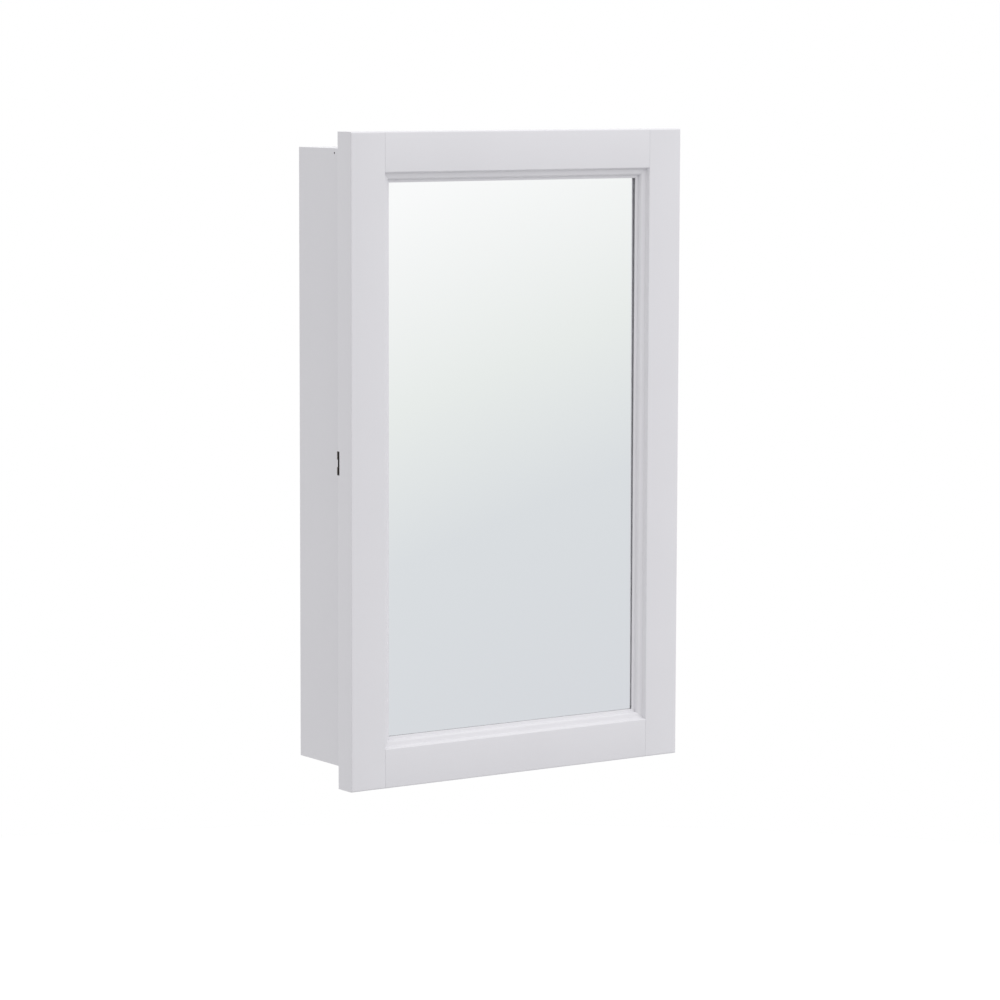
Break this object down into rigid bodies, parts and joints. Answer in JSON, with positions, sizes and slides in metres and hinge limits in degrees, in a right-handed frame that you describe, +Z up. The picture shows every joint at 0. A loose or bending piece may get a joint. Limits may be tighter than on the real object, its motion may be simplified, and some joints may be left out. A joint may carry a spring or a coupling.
{
  "type": "medicine cabinet",
  "caption": "Shallow wall-hung cabinet with an overhanging framed mirror door on side hinges, loose shelves inside and a small edge pull.",
  "frame": {"origin": "centre of the cabinet's back, on the wall", "axes": "+X to the right of someone facing the door, +Y from the room into the wall, +Z up"},
  "size_m": [0.4064, 0.127, 0.6604],
  "materials": {
    "painted_board": "semi-gloss white paint on board",
    "door_paint": "semi-gloss white paint on wood",
    "mirror": "silvered float glass",
    "hardboard": "bare hardboard",
    "beech": "bare beech",
    "plated_steel": "satin nickel plate",
    "steel_wire": "bright drawn wire",
    "dark_metal": "dark bronze lacquer",
    "white_plastic": "moulded",
    "ferrite": "pressed ferrite",
    "clear_rubber": "soft translucent"
  },
  "bodies": {
    "case": {"side_panel_left": "painted_board", "side_panel_right": "painted_board", "top_panel": "painted_board", "bottom_panel": "painted_board", "back_panel": "painted_board", "hanging_rail_upper": "painted_board", "hanging_rail_lower": "painted_board", "shelf_pegs_upper": "plated_steel", "shelf_pegs_lower": "plated_steel", "case_nails": "steel_wire", "back_panel_brads": "steel_wire", "catch_case": "white_plastic", "catch_magnet": "ferrite", "catch_pole_plates": "plated_steel", "catch_screws": "plated_steel", "hinge_case_screws": "plated_steel", "hinge_lower_case_leaf": "plated_steel", "hinge_upper_case_leaf": "plated_steel"},
    "door": {"latch_stile": "door_paint", "hinge_stile": "door_paint", "top_rail": "door_paint", "bottom_rail": "door_paint", "frame_dowels": "beech", "mirror_glass": "mirror", "mirror_backing": "hardboard", "bead_left": "door_paint", "bead_right": "door_paint", "bead_top": "door_paint", "bead_bottom": "door_paint", "bead_brads": "steel_wire", "strike_plate": "plated_steel", "strike_screws": "plated_steel", "edge_pull": "dark_metal", "edge_pull_screws": "plated_steel", "door_bumpers": "clear_rubber", "hinge_door_screws": "plated_steel", "hinge_lower_door_leaf": "plated_steel", "hinge_upper_door_leaf": "plated_steel", "hinge_lower_pin": "plated_steel", "hinge_upper_pin": "plated_steel"},
    "upper_shelf": {"shelf_upper": "painted_board"},
    "lower_shelf": {"shelf_lower": "painted_board"}
  },
  "joints": [
    {"name": "door_hinge", "type": "hinge", "parent": "case", "child": "door", "pos_m": [0.1888, -0.0985, 0], "axis": [0, 0, 1], "range_deg": [0, 110]},
    {"name": "upper_shelf_lift", "type": "slide", "parent": "case", "child": "upper_shelf", "axis": [0, 0, 1], "range_m": [0, 0.03]},
    {"name": "lower_shelf_lift", "type": "slide", "parent": "case", "child": "lower_shelf", "axis": [0, 0, 1], "range_m": [0, 0.03]}
  ]
}
